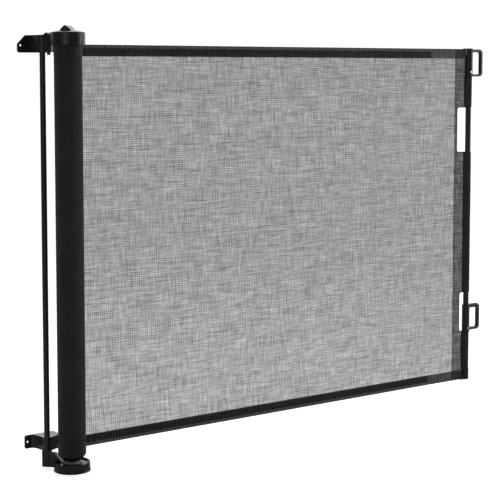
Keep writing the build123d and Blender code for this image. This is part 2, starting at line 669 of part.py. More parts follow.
def latch(collar_span, loop_span, opening_span):
    """Collar on the bar with a D-shaped loop that drops over a wall hook."""
    collar = disc(COLLAR_R, collar_span[0], collar_span[1])
    outer_w = LOOP_REACH + 2
    loop_mid = (loop_span[0] + loop_span[1]) / 2
    outline = Pos(LOOP_REACH - outer_w / 2, loop_mid) * RectangleRounded(
        outer_w, loop_span[1] - loop_span[0], 10
    )
    inner_end = LOOP_REACH - LOOP_LIMB
    gap_mid = (opening_span[0] + opening_span[1]) / 2
    window = Pos((inner_end + 6) / 2, gap_mid) * RectangleRounded(
        inner_end - 6, opening_span[1] - opening_span[0], 5
    )
    plate = extrude(Plane.XZ * (outline - window), LOOP_HALF_Y, both=True)
    rim = [e for e in plate.edges() if abs(abs(e.center().Y) - LOOP_HALF_Y) < 0.01]
    plate = fillet(rim, 2.4)
    body = collar + plate
    body = body - disc(BAR_R, collar_span[0] - 5, collar_span[1] + 5)
    screw_z = collar_span[0] + LATCH_SCREW_RISE
    body = body - along_y(1.4, 0, screw_z, -COLLAR_R - 1, 0)
    return at_bar(body - along_y(2.6, 0, screw_z, -COLLAR_R - 1, -COLLAR_R + 1.6))


def upper_latch():
    return latch((HIGH_LATCH_LOW, HIGH_LATCH_TOP), HIGH_LOOP, HIGH_OPENING)


def lower_latch():
    return latch(LOW_LATCH, LOW_LOOP, LOW_OPENING)


def latch_screws():
    screws = []
    for low in (HIGH_LATCH_LOW, LOW_LATCH[0]):
        z = low + LATCH_SCREW_RISE
        head = along_y(2.4, 0, z, -COLLAR_R + 0.2, -COLLAR_R + 1.6)
        shank = along_y(1.4, 0, z, -COLLAR_R + 1.5, -BAR_R + 3)
        screws.append(at_bar(head + shank))
    return screws


def fin(tip_z, root_z, cap_z):
    """Forked fin on the mesh side of an end cap, astride the hem's corner."""
    outer = [(-FIN_REACH, cap_z), (-FIN_REACH, tip_z)]
    points = outer + [(-COLLAR_R, root_z), (-BAR_R, root_z), (-BAR_R, cap_z)]
    return side_prism(points, -FIN_HALF_Y, FIN_HALF_Y)


def bar_top_cap():
    cap = disc(COLLAR_R, HIGH_LATCH_TOP, END_CAP_TOP)
    cap = fillet(cap.edges().group_by(Axis.Z)[-1], 1.6)
    wedge = fin(MESH_TOP - 2.5, MESH_TOP - 17, END_CAP_TOP)
    wedge = wedge - disc(COLLAR_R, MESH_TOP - 30, HIGH_LATCH_TOP)
    slot = block((-FIN_REACH - 1, 0), (-FIN_SLOT_HALF, FIN_SLOT_HALF), (MESH_TOP - 30, MESH_TOP))
    wedge = wedge - slot
    plug = disc(BAR_R - BAR_WALL, BAR_TOP - 14, HIGH_LATCH_TOP + 0.5)
    return at_bar(cap + wedge + plug)


def bar_bottom_cap():
    cap = disc(COLLAR_R - 0.6, END_CAP_LOW, END_CAP_LOW + END_CAP_HEIGHT)
    cap = fillet(cap.edges().group_by(Axis.Z)[0], 1.6)
    wedge = fin(MESH_LOW + 2.5, MESH_LOW + 15, END_CAP_LOW)
    slot_span = (-FIN_REACH - 1, -COLLAR_R + 0.6)
    slot = block(slot_span, (-FIN_SLOT_HALF, FIN_SLOT_HALF), (MESH_LOW, MESH_LOW + 30))
    body = cap + wedge - slot
    return at_bar(body - disc(BAR_R, BAR_LOW, BAR_TOP))


def hem_band():
    """Doubled edge of the mesh beside the bar, with two windows open towards the bar."""
    z_span = (MESH_LOW + BINDING_WIDTH, MESH_TOP - BINDING_WIDTH)
    edge_x = BAR_X - COLLAR_R - 0.1
    band = flat_strip((HEM_X, edge_x), HEM_T, z_span)
    for start, span in ((GRIP_WINDOW_X, GRIP_WINDOW), (LOW_WINDOW_X, LOW_WINDOW)):
        width = BAR_X - start + 10
        window = Pos(start + width / 2, 0, (span[0] + span[1]) / 2) * Rot(90, 0, 0) * extrude(
            RectangleRounded(width, span[1] - span[0], WINDOW_R), 5, both=True
        )
        band = band - Pos(0, PANEL_Y, 0) * window
    return band


def corner_tab(low):
    """End of an edge binding folded over the hem's corner."""
    return flat_strip((HEM_X, BAR_X - COLLAR_R - 0.1), BINDING_T, (low, low + BINDING_WIDTH))


def sleeve_length(low, high):
    return at_bar(tube(BAR_SLEEVE_R, BAR_R, low, high))


NODES = {
    "top_wall_bracket": top_wall_bracket(),
    "bottom_wall_bracket": bottom_wall_bracket(),
    "support_rod": support_rod(),
    "rod_grub_screws": rod_grub_screws(),
    "head_housing": head_housing(),
    "head_fixing_screw": head_fixing_screw(),
    "head_bush": head_bush(),
    "knob_guide_plate": knob_guide_plate(),
    "guide_plate_screws": guide_plate_screws(),
    "pawl_pin": pawl_pin(),
    "pawl_spring": pawl_spring(),
    "lock_pawl": lock_pawl(),
    "ratchet_wheel": ratchet_wheel(),
    "knob_cam": knob_cam(),
    "cam_cross_pin": cam_cross_pin(),
    "knob_sleeve": knob_sleeve(),
    "knob_spring": knob_spring(),
    "lock_knob": lock_knob(),
    "foot_housing": foot_housing(),
    "foot_bush": foot_bush(),
    "foot_cover": foot_cover(),
    "foot_cover_screws": foot_cover_screws(),
    "spring_shaft": spring_shaft(),
    "shaft_nut": shaft_nut(),
    "spring_fixed_collar": spring_fixed_collar(),
    "roller_tube": roller_tube(),
    "roller_top_plug": roller_top_plug(),
    "roller_bottom_plug": roller_bottom_plug(),
    "spring_drive_collar": spring_drive_collar(),
    "torsion_spring": torsion_spring(),
    "mesh_anchor_strip": mesh_anchor_strip(),
    "wound_mesh": wound_layer(ROLL_R, MESH_LOW + BINDING_WIDTH, MESH_TOP - BINDING_WIDTH),
    "wound_top_binding": wound_layer(ROLL_R + 0.3, MESH_TOP - BINDING_WIDTH, MESH_TOP),
    "wound_bottom_binding": wound_layer(ROLL_R + 0.3, MESH_LOW, MESH_LOW + BINDING_WIDTH),
    "mesh_panel": mesh_panel(),
    "panel_top_binding": panel_binding(MESH_TOP - BINDING_WIDTH),
    "panel_bottom_binding": panel_binding(MESH_LOW),
    "pull_bar": pull_bar(),
    "upper_latch": upper_latch(),
    "lower_latch": lower_latch(),
    "latch_screws": latch_screws(),
    "bar_top_cap": bar_top_cap(),
    "bar_bottom_cap": bar_bottom_cap(),
    "hem_band": hem_band(),
    "top_corner_tab": corner_tab(MESH_TOP - BINDING_WIDTH),
    "bottom_corner_tab": corner_tab(MESH_LOW),
    "upper_sleeve": sleeve_length(GRIP_WINDOW[1], HIGH_LATCH_LOW),
    "middle_sleeve": sleeve_length(LOW_WINDOW[1], GRIP_WINDOW[0]),
    "lower_sleeve": sleeve_length(END_CAP_LOW + END_CAP_HEIGHT, LOW_LATCH[0]),
}

os.makedirs("parts", exist_ok=True)
for name, shape in NODES.items():
    if isinstance(shape, list):
        shape = Compound(children=[piece.solid() for piece in shape])
    export_step(shape, f"parts/{name}.step")
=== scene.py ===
import math

import bmesh
import bpy
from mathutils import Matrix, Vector, noise


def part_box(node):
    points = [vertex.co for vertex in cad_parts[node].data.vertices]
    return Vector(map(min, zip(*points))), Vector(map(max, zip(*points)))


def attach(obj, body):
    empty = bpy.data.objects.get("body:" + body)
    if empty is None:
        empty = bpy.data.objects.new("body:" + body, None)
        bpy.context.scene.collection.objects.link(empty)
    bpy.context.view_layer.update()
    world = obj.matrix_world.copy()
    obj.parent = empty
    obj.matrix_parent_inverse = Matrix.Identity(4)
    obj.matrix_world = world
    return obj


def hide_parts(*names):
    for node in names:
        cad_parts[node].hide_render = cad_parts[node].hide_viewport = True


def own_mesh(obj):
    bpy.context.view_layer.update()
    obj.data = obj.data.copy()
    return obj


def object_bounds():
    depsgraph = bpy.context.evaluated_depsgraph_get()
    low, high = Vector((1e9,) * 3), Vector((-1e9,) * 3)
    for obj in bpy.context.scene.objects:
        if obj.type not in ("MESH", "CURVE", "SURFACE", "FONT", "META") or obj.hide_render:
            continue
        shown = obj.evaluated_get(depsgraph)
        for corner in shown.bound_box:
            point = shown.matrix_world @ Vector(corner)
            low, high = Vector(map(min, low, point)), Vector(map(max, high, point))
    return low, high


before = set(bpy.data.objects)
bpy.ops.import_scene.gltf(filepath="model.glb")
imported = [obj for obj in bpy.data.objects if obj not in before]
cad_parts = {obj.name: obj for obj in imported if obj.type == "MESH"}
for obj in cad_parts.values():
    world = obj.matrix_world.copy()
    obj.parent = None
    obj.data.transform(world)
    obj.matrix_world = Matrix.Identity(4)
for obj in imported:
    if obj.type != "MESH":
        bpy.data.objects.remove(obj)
cad_low, cad_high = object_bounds()

MM = 0.001
TURN = 2 * math.pi

# ---- Places, from the frame -------------------------------------------------


def middle(node):
    low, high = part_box(node)
    return (low + high) / 2


def breadth(node, axis):
    low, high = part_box(node)
    return getattr(high, axis) - getattr(low, axis)


roll_axis = middle("wound_mesh")
roll_low, roll_top = (corner.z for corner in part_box("wound_mesh"))
roll_r = breadth("wound_mesh", "x") / 2
taped_roll_r = breadth("wound_top_binding", "x") / 2
tube_r = breadth("roller_tube", "x") / 2
mesh_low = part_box("panel_bottom_binding")[0].z
mesh_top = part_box("panel_top_binding")[1].z
tape_width = breadth("panel_bottom_binding", "z")
tape_half = breadth("panel_bottom_binding", "y") / 2
tape_lows = {"top": mesh_top - tape_width, "bottom": mesh_low}
panel_y = middle("mesh_panel").y
hem_x, hem_end_x = (corner.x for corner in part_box("hem_band"))
bar = middle("pull_bar")
sleeve_r = breadth("upper_sleeve", "y") / 2
floor_z = cad_low.z

# ---- Camera -----------------------------------------------------------------
CAMERA_FROM_ROLLER_TOP = Vector((-1.338, -2.4854, -0.0516))
CAMERA_TURN = math.radians(35.744)
CAMERA_DOWN = math.radians(4.732)
CAMERA_LENS = 99.84
CAMERA_SENSOR = 36
CAMERA_SHIFT = -0.131


def make_camera():
    data = bpy.data.cameras.new("camera")
    data.lens = CAMERA_LENS
    data.sensor_width = CAMERA_SENSOR
    data.shift_y = CAMERA_SHIFT
    camera = bpy.data.objects.new("camera", data)
    bpy.context.scene.collection.objects.link(camera)
    camera.location = Vector((roll_axis.x, roll_axis.y, mesh_top)) + CAMERA_FROM_ROLLER_TOP
    camera.rotation_euler = (math.pi / 2 - CAMERA_DOWN, 0, -CAMERA_TURN)
    bpy.context.scene.camera = camera


make_camera()

# ---- Materials --------------------------------------------------------------
NOISE_SPAN = (0.3, 0.7)  # where nearly all of a noise's values lie
COOL = (1.0, 1.0, 1.03)


def grey(level, tint=(1.0, 1.0, 1.0)):
    return tuple(level * t for t in tint)


class Finish:
    """One procedural material. Its coordinates are the piece's own, in metres."""

    def __init__(self, name, colour, roughness, **sockets):
        self.material = bpy.data.materials.new(name)
        self.material.use_nodes = True
        self.tree = self.material.node_tree
        self.surface = self.tree.nodes["Principled BSDF"]
        self.place = self.tree.nodes.new("ShaderNodeTexCoord").outputs["Object"]
        self.give("Base Color", (*colour, 1))
        self.give("Roughness", roughness)
        for socket, value in sockets.items():
            self.give(socket.replace("_", " "), value)

    def feed(self, socket, value):
        """Set a socket to a constant, or link it to another node's output."""
        if isinstance(value, bpy.types.NodeSocket):
            self.tree.links.new(value, socket)
        else:
            socket.default_value = value

    def give(self, socket, value):
        self.feed(self.surface.inputs[socket], value)

    def node(self, kind, inputs, output=0, **settings):
        made = self.tree.nodes.new("ShaderNode" + kind)
        for name, value in settings.items():
            setattr(made, name, value)
        for name, value in inputs.items():
            self.feed(made.inputs[name], value)
        return made.outputs[output]

    def math(self, operation, *values):
        return self.node("Math", dict(enumerate(values)), operation=operation)

    def along(self, axis):
        """The place's own X, Y or Z."""
        return self.node("SeparateXYZ", {0: self.place}, axis)

    def cloud(self, size, detail=2.0):
        """Noise about 0.5 whose features are about size metres along each axis."""
        steps = [1 / s for s in size]
        place = self.node("VectorMath", {0: self.place, 1: steps}, operation="MULTIPLY")
        return self.node("TexNoise", {"Vector": place, "Scale": 1.0, "Detail": detail}, "Fac")

    def remap(self, value, start, end, low=0.0, high=1.0):
        inputs = {"Value": value, "From Min": start, "From Max": end, "To Min": low, "To Max": high}
        return self.node("MapRange", inputs)

    def colour_by(self, value, dark, light):
        """Base colour between dark and light, where value goes from 0 to 1."""
        factor, first, second, result = 0, 6, 7, 2  # the colour sockets' places on a Mix node
        inputs = {factor: value, first: (*dark, 1), second: (*light, 1)}
        self.give("Base Color", self.node("Mix", inputs, result, data_type="RGBA"))

    def roughen_by(self, value, smoothest, roughest):
        self.give("Roughness", self.remap(value, *NOISE_SPAN, smoothest, roughest))

    def bump(self, height, depth, strength=1.0):
        """Relief on top of any relief that is already there."""
        inputs = {"Height": height, "Distance": depth, "Strength": strength}
        normal = self.surface.inputs["Normal"]
        if normal.is_linked:
            inputs["Normal"] = normal.links[0].from_socket
        self.feed(normal, self.node("Bump", inputs))


def moulded_plastic(name, level, roughness):
    """Injection moulding: fine spark-eroded grain, and faint cloudiness from handling."""
    made = Finish(name, grey(level), roughness, Specular_IOR_Level=0.5)
    handling = made.cloud([22 * MM] * 3, 3)
    made.colour_by(made.remap(handling, *NOISE_SPAN), grey(level * 0.8), grey(level * 1.25, COOL))
    made.roughen_by(handling, roughness - 0.05, roughness + 0.06)
    made.bump(made.cloud([0.45 * MM] * 3), 0.05 * MM, 0.6)
    return made.material


def coated_steel(name, level, roughness):
    """Powder-coated tube: a soft orange peel under a satin skin."""
    made = Finish(name, grey(level), roughness, Specular_IOR_Level=0.5)
    unevenness = made.cloud([15 * MM, 15 * MM, 90 * MM])
    made.colour_by(unevenness, grey(level * 0.85), grey(level * 1.2))
    made.roughen_by(unevenness, roughness - 0.04, roughness + 0.05)
    made.bump(made.cloud([1.3 * MM] * 3, 1), 0.04 * MM, 0.7)
    return made.material


def bright_metal(name, colour, roughness, size):
    """Drawn or turned metal, with fine scratches along size's long side."""
    made = Finish(name, colour, roughness, Metallic=1.0)
    scratch = made.cloud(size, 3)
    made.colour_by(scratch, tuple(c * 0.82 for c in colour), colour)
    made.roughen_by(scratch, roughness - 0.08, roughness + 0.1)
    made.bump(scratch, 0.01 * MM, 0.5)
    return made.material


THREAD_PITCH = 1.2 * MM
THREAD_SHARE = 0.46  # how much of its pitch an even thread covers
THREAD_ROUNDING = 0.12  # how much more its middle covers than its edges
UNEVENNESS = 0.15  # in patches, how much every fourth thread is thicker and the one halfway thinner
UNEVEN_PATCH = 60 * MM
UNEVEN_SPAN = (0.4, 0.65)
SLUBS = ((1, 60 * MM, 0.42), (2, 34 * MM, 0.62))  # threads side by side, length, strength
BUNDLE_SPACING = 7.31  # keeps the noise of neighbouring bundles apart
LEAST_COVER, MOST_COVER = 0.02, 0.98
GAP_SPAN = (0.1, 0.6)
YARN_DARK, YARN, YARN_LIGHT = 0.018, 0.03, 0.05
CLOTH_ROUGHNESS = 0.62


def thread_set(made, across, along, phase):
    """Cover and rounding of one set of parallel threads, whose slubs thicken and thin them."""
    row = made.math("ADD", made.math("DIVIDE", made.along(across), THREAD_PITCH), phase)
    thread = made.math("FLOOR", row)
    rounding = made.math("COSINE", made.math("MULTIPLY", row, TURN))
    cover = made.math("MULTIPLY_ADD", rounding, THREAD_ROUNDING, THREAD_SHARE)
    uneven = made.math("COSINE", made.math("MULTIPLY", thread, TURN / 4))
    patch = made.remap(made.cloud([UNEVEN_PATCH] * 3, 1), *UNEVEN_SPAN, 0.0, UNEVENNESS)
    cover = made.math("MULTIPLY_ADD", uneven, patch, cover)
    for threads, length, strength in SLUBS:
        bundle = made.math("FLOOR", made.math("DIVIDE", thread, threads))
        run = made.math("DIVIDE", made.along(along), length)
        spot = {0: made.math("MULTIPLY", bundle, BUNDLE_SPACING), 1: run, 2: phase + threads}
        inputs = {"Vector": made.node("CombineXYZ", spot), "Scale": 1.0, "Detail": 1.0}
        slub = made.math("SUBTRACT", made.node("TexNoise", inputs, "Fac"), 0.5)
        cover = made.math("MULTIPLY_ADD", slub, strength, cover)
    return made.math("MINIMUM", made.math("MAXIMUM", cover, LEAST_COVER), MOST_COVER), rounding


def mesh_cloth(name, see_through):
    """Coated yarn woven open, with uneven yarns both ways."""
    made = Finish(name, grey(YARN), CLOTH_ROUGHNESS, Specular_IOR_Level=0.3)
    upright, upright_round = thread_set(made, "X", "Z", 0.0)
    level, level_round = thread_set(made, "Z", "X", 0.5)
    gaps = made.math("MULTIPLY", made.math("SUBTRACT", 1.0, upright), made.math("SUBTRACT", 1.0, level))
    made.colour_by(made.remap(gaps, *GAP_SPAN), grey(YARN_DARK), grey(YARN_LIGHT))
    made.bump(made.math("ADD", upright_round, level_round), 0.12 * MM, 0.7)
    if see_through:
        made.give("Alpha", made.math("SUBTRACT", 1.0, gaps))
    return made.material


RIB_PITCH = 1.9 * MM
RIB_GROUP = 7.4 * MM
ROW_PITCH = 4.6 * MM
DIMPLE_ACROSS, DIMPLE_UP = (0.1, 0.9), (-0.1, 0.6)  # where dimples start and end on the two waves
GROUP_SHADE = 0.16
# how far painted shade darkens the dimples' colour
DIMPLE_PAINTED_SHADE = 0.75
WEAR_SHADE, WEAR_MIDDLE = 1.5, 0.42
RIB_RELIEF = 0.4  # against the dimples' depth


def webbing(name, dark, light, contrast):
    """Woven edging tape: cross ribs in groups, crossed by rows of dimples whose colour is darkened with
    painted shade.
    """
    made = Finish(name, grey(dark), CLOTH_ROUGHNESS, Specular_IOR_Level=0.3, Sheen_Weight=0.15,
                  Sheen_Roughness=0.5)

    def wave(axis, pitch):
        return made.math("SINE", made.math("MULTIPLY", made.along(axis), TURN / pitch))

    rib, group, rows = wave("X", RIB_PITCH), wave("X", RIB_GROUP), wave("Z", ROW_PITCH)
    dimple = made.math("MULTIPLY", made.remap(group, *DIMPLE_ACROSS), made.remap(rows, *DIMPLE_UP))
    wear = made.math("SUBTRACT", made.cloud((7 * MM, 50 * MM, 2.5 * MM), 3), WEAR_MIDDLE)
    tone = made.math("MULTIPLY_ADD", group, -GROUP_SHADE * contrast, 0.5)
    # painted shade: the dimples' colour is darkened as if shade lay in them
    tone = made.math("MULTIPLY_ADD", dimple, -DIMPLE_PAINTED_SHADE * contrast, tone)
    tone = made.math("MULTIPLY_ADD", wear, WEAR_SHADE * contrast, tone)
    made.colour_by(made.remap(tone, 0.0, 1.0), grey(dark), grey(light))
    made.bump(made.math("SUBTRACT", made.math("MULTIPLY", rib, RIB_RELIEF), dimple), 0.25 * MM, 0.8)
    made.bump(made.cloud([0.5 * MM] * 3), 0.06 * MM, 0.6)
    return made.material


def sewing_thread(name):
    """Twisted polyester thread."""
    made = Finish(name, grey(0.05), 0.5, Sheen_Weight=0.3)
    twist = made.cloud([0.35 * MM] * 3, 1)
    made.colour_by(twist, grey(0.03), grey(0.09))
    made.bump(twist, 0.08 * MM)
    return made.material


housing_black = moulded_plastic("housing_black", 0.012, 0.3)
inner_nylon = moulded_plastic("inner_nylon", 0.4, 0.45)
latch_black = moulded_plastic("latch_black", 0.009, 0.3)
rod_coat = coated_steel("rod_coat", 0.012, 0.3)
bar_coat = coated_steel("bar_coat", 0.012, 0.3)
screw_steel = bright_metal("screw_steel", (0.62, 0.62, 0.63), 0.3, [0.6 * MM, 0.6 * MM, 0.08 * MM])
spring_steel = bright_metal("spring_steel", (0.42, 0.42, 0.44), 0.34, [0.5 * MM] * 3)
drawn_aluminium = bright_metal("drawn_aluminium", (0.7, 0.71, 0.72), 0.38, [0.4 * MM, 0.4 * MM, 30 * MM])
open_mesh = mesh_cloth("open_mesh", see_through=True)
wound_cloth = mesh_cloth("wound_cloth", see_through=False)
hem_mesh = mesh_cloth("hem_mesh", see_through=True)
edge_tape = webbing("edge_tape", 0.004, 0.22, 1.5)
corner_tape = webbing("corner_tape", 0.006, 0.06, 0.7)
wound_tape = webbing("wound_tape", 0.012, 0.03, 0.35)
black_thread = sewing_thread("black_thread")

NODE_FINISH = {
    housing_black: [
        "top_wall_bracket", "bottom_wall_bracket", "head_housing", "lock_knob", "foot_housing",
        "foot_cover", "roller_top_plug", "roller_bottom_plug",
    ],
    latch_black: ["upper_latch", "lower_latch", "bar_top_cap", "bar_bottom_cap"],
    inner_nylon: [
        "head_bush", "foot_bush", "knob_guide_plate", "ratchet_wheel", "lock_pawl", "knob_cam",
        "knob_sleeve", "spring_fixed_collar", "spring_drive_collar", "mesh_anchor_strip",
    ],
    rod_coat: ["support_rod"],
    bar_coat: ["pull_bar"],
    screw_steel: [
        "rod_grub_screws", "head_fixing_screw", "guide_plate_screws", "pawl_pin", "cam_cross_pin",
        "foot_cover_screws", "spring_shaft", "shaft_nut", "latch_screws",
    ],
    spring_steel: ["pawl_spring", "knob_spring", "torsion_spring"],
    drawn_aluminium: ["roller_tube"],
}


def finish_nodes():
    """Give the carried-over CAD nodes their materials."""
    for finish, nodes in NODE_FINISH.items():
        for node in nodes:
            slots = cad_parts[node].data.materials
            slots.clear()
            slots.append(finish)


finish_nodes()

# ---- Mesh helpers -----------------------------------------------------------


def piece(name, points, faces, finish, body, smooth=True):
    mesh = bpy.data.meshes.new(name)
    mesh.from_pydata([tuple(p) for p in points], [], faces)
    mesh.materials.append(finish)
    mesh.update()
    made = bpy.data.objects.new(name, mesh)
    bpy.context.scene.collection.objects.link(made)
    for polygon in mesh.polygons:
        polygon.use_smooth = smooth
    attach(made, body)
    return made


def swept(name, rings, finish, body, closed_ring=True, ends=True):
    """Surface through a row of rings that all have the same number of points."""
    count = len(rings[0])
    points = [p for ring in rings for p in ring]
    sides = count if closed_ring else count - 1
    faces = []
    for base in range(0, len(points) - count, count):
        for j in range(sides):
            k = (j + 1) % count
            faces.append((base + j, base + k, base + count + k, base + count + j))
    if closed_ring and ends:
        faces.append(tuple(range(count - 1, -1, -1)))
        faces.append(tuple(range(len(points) - count, len(points))))
    return piece(name, points, faces, finish, body)


def weld(made):
    """Join points that lie on each other."""
    work = bmesh.new()
    work.from_mesh(made.data)
    bmesh.ops.remove_doubles(work, verts=work.verts, dist=1e-6)
    bmesh.ops.recalc_face_normals(work, faces=work.faces)
    work.to_mesh(made.data)
    work.free()


def about(axis, radius, angle):
    """Place (x, y) about an upright axis."""
    return axis.x + radius * math.cos(angle), axis.y + radius * math.sin(angle)


def ease(value):
    """Smooth step from 0 to 1."""
    value = min(max(value, 0.0), 1.0)
    return value * value * (3 - 2 * value)


# ---- Wound roll -------------------------------------------------------------
ROUND_STEPS = 128
SKIN_ROWS = 40
LIP_SHOULDER = 0.3  # where the rounded lip's middle point lies, as a share of the lip
ROLL_LIP = 0.3 * MM
TAPED_LIP = 0.5 * MM


def drum_profile(outer, low, high, lip):
    """Outer skin with rounded ends, closed by an inner skin on the tube."""
    shoulder = lip * LIP_SHOULDER
    start = low + lip
    length = high - low - 2 * lip
    skin = [(outer - lip, low), (outer - shoulder, low + shoulder), (outer, start)]
    skin += [(outer, start + length * i / SKIN_ROWS) for i in range(1, SKIN_ROWS)]
    skin += [(outer, high - lip), (outer - shoulder, high - shoulder), (outer - lip, high)]
    return skin + [(tube_r, high), (tube_r, low)]


def wound(name, node, finish, profile):
    """Closed drum about the roller's axis from a profile of (radius, height) points."""
    angles = [TURN * i / ROUND_STEPS for i in range(ROUND_STEPS)]
    rings = [[(*about(roll_axis, r, angle), z) for r, z in profile] for angle in angles]
    made = swept(name, rings + rings[:1], finish, "roller", ends=False)
    weld(made)
    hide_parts(node)


wound("wound_roll", "wound_mesh", wound_cloth,
      drum_profile(roll_r, roll_low, roll_top, ROLL_LIP))
for end in tape_lows:
    low, high = (corner.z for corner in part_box(f"wound_{end}_binding"))
    wound(f"wound_{end}_tape", f"wound_{end}_binding", wound_tape,
          drum_profile(taped_roll_r, low, high, TAPED_LIP))

# ---- Mesh panel -------------------------------------------------------------
LEAD_IN = math.radians(10)  # how far round the roll the loose cloth starts
LEAD_STEPS = 8
LEAD_TUCK = 0.6 * MM  # how deep its start is tucked in
SETTLE_START = 100 * MM  # before the hem, where the cloth leaves the roll's plane for the hem's
SETTLE_LENGTH = 90 * MM
PANEL_CLEARANCE = 0.25 * MM
PANEL_STEP = 8 * MM
PANEL_ROWS = 84
CLOTH_EDGE = 0.3  # where it lies inside the tape, from the fold, as a share of the tape's width
RIPPLE = 1.1 * MM
RIPPLES_ALONG, RIPPLES_UP = 3.1, 4.3  # per metre
RIPPLE_RISE = 80 * MM  # from either end of the cloth
RIPPLE_EDGE = 0.25  # from its top and bottom, as a share of its height
RIPPLE_LAYER = 0.4
FOLD_STEPS = 6
WALL_STEPS = 6
EDGE_DROP = 0.4 * MM
EDGE_ROUND = 0.35 * MM
RIB_DEPTH = 0.05 * MM

panel_length = hem_x - roll_axis.x


def retracts(made):
    """Give the piece its own copy of its mesh data."""
    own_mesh(made)


def run_off(clearance, step):
    """Places (x, y) of cloth that leaves the roll's back: round the roll, then straight to the hem."""
    places = []
    for i in range(LEAD_STEPS):
        left = 1 - i / LEAD_STEPS
        radius = roll_r + clearance - LEAD_TUCK * left ** 2
        places.append(about(roll_axis, radius, TURN / 4 + LEAD_IN * left))
    start_y = roll_axis.y + roll_r + clearance
    count = round(panel_length / step)
    for i in range(count + 1):
        x = roll_axis.x + panel_length * i / count
        settled = ease((x - (hem_x - SETTLE_START)) / SETTLE_LENGTH)
        places.append((x, start_y + (panel_y - start_y) * settled))
    return places


def make_panel():
    low = mesh_low + tape_width * CLOTH_EDGE
    high = mesh_top - tape_width * CLOTH_EDGE
    rings = []
    for x, y in run_off(PANEL_CLEARANCE, PANEL_STEP):
        ring = []
        for i in range(PANEL_ROWS + 1):
            share = i / PANEL_ROWS
            z = low + (high - low) * share
            from_ends = min(x - roll_axis.x, hem_x - x) / RIPPLE_RISE
            from_edges = min(share, 1 - share) / RIPPLE_EDGE
            slack = max(0, min(1, from_ends, from_edges))
            spot = Vector((x * RIPPLES_ALONG, RIPPLE_LAYER, z * RIPPLES_UP))
            ring.append((x, y + noise.noise(spot) * RIPPLE * slack, z))
        rings.append(ring)
    made = swept("mesh_panel_cloth", rings, open_mesh, "wall_frame", closed_ring=False)
    retracts(made)
    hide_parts("mesh_panel")


def tape_ring(x, y, end, half):
    """Section of a binding tape folded over the cloth's top or bottom edge."""
    low = tape_lows[end]
    high = low + tape_width
    outer, fold_z, edge_z = (1, high - half, low) if end == "top" else (-1, low + half, high)
    fold = [math.pi * i / FOLD_STEPS for i in range(FOLD_STEPS + 1)]
    wall = edge_z + outer * EDGE_DROP - fold_z
    walls = [fold_z + wall * (i / WALL_STEPS) for i in range(1, WALL_STEPS + 1)]
    ring = [(x, y + half * math.cos(angle), fold_z + outer * half * math.sin(angle)) for angle in fold]
    ring += [(x, y - half, z) for z in walls]
    ring += [(x, y - half + EDGE_ROUND, edge_z), (x, y + half - EDGE_ROUND, edge_z)]
    ring += [(x, y + half, z) for z in reversed(walls)]
    return ring if end == "top" else ring[::-1]


def make_tape(end):
    rings = []
    for x, y in run_off(tape_half + taped_roll_r - roll_r, RIB_PITCH / 2):
        rib = math.cos(TURN * x / RIB_PITCH) * RIB_DEPTH
        rings.append(tape_ring(x, y, end, tape_half + rib))
    made = swept(f"panel_{end}_tape", rings, edge_tape, "wall_frame")
    retracts(made)
    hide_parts(f"panel_{end}_binding")


make_panel()
for end in tape_lows:
    make_tape(end)

# ---- Hem --------------------------------------------------------------------
HEM_LAP = 1 * MM  # how far it laps over the mesh's end
HEM_HALF = 0.45 * MM
HEM_INSET = 8 * MM  # from the mesh's top and bottom
GRIP_REACH = 39 * MM  # from the bar's axis to the window's left edge
LOW_WINDOW_REACH = 24 * MM
LOW_WINDOW_HEIGHT = 100.5 * MM
WINDOW_R = 7 * MM
CORNER_STEPS = 8
PIPING_R = 1.1 * MM
PIPING_SIDES = 8
SLEEVES = ("upper", "middle", "lower")

grip_low, grip_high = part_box("middle_sleeve")[1].z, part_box("upper_sleeve")[0].z
low_window_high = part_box("middle_sleeve")[0].z
low_window_low = low_window_high - LOW_WINDOW_HEIGHT
windows = {
    "grip": (bar.x - GRIP_REACH, grip_low, grip_high),
    "low": (bar.x - LOW_WINDOW_REACH, low_window_low, low_window_high),
}


def window_outline(left, low, high):
    """Window cut in from the right, with its two left corners rounded, from its top to its bottom."""
    places = [(hem_end_x, high)]
    for middle_z, start in ((high - WINDOW_R, 90), (low + WINDOW_R, 180)):
        for i in range(CORNER_STEPS + 1):
            angle = math.radians(start + 90 * i / CORNER_STEPS)
            x = left + WINDOW_R + WINDOW_R * math.cos(angle)
            places.append((x, middle_z + WINDOW_R * math.sin(angle)))
    return places + [(hem_end_x, low)]


def hem_outline():
    """Hem's outline in X and Z, up the left side and down the right, round both windows."""
    left, low, high = hem_x - HEM_LAP, mesh_low + HEM_INSET, mesh_top - HEM_INSET
    outline = [(left, low), (left, high), (hem_end_x, high)]
    for window in windows.values():
        outline += window_outline(*window)
    return outline + [(hem_end_x, low)]


def cut_cloth(name, y):
    """One layer of the hem's cloth, cut to the hem's outline."""
    outline = hem_outline()
    curve = bpy.data.curves.new(name, "CURVE")
    curve.dimensions = "2D"
    curve.fill_mode = "BOTH"
    line = curve.splines.new("POLY")
    line.points.add(len(outline) - 1)
    for point, (x, z) in zip(line.points, outline):
        point.co = (x, z, 0, 1)
    line.use_cyclic_u = True
    flat = bpy.data.objects.new(name + "_outline", curve)
    bpy.context.scene.collection.objects.link(flat)
    bpy.context.view_layer.update()
    mesh = bpy.data.meshes.new_from_object(flat.evaluated_get(bpy.context.evaluated_depsgraph_get()))
    points = [(v.co.x, y, v.co.y) for v in mesh.vertices]
    faces = [tuple(p.vertices) for p in mesh.polygons]
    bpy.data.objects.remove(flat)
    made = piece(name, points, faces, hem_mesh, "pull_bar_set", smooth=False)
    return made


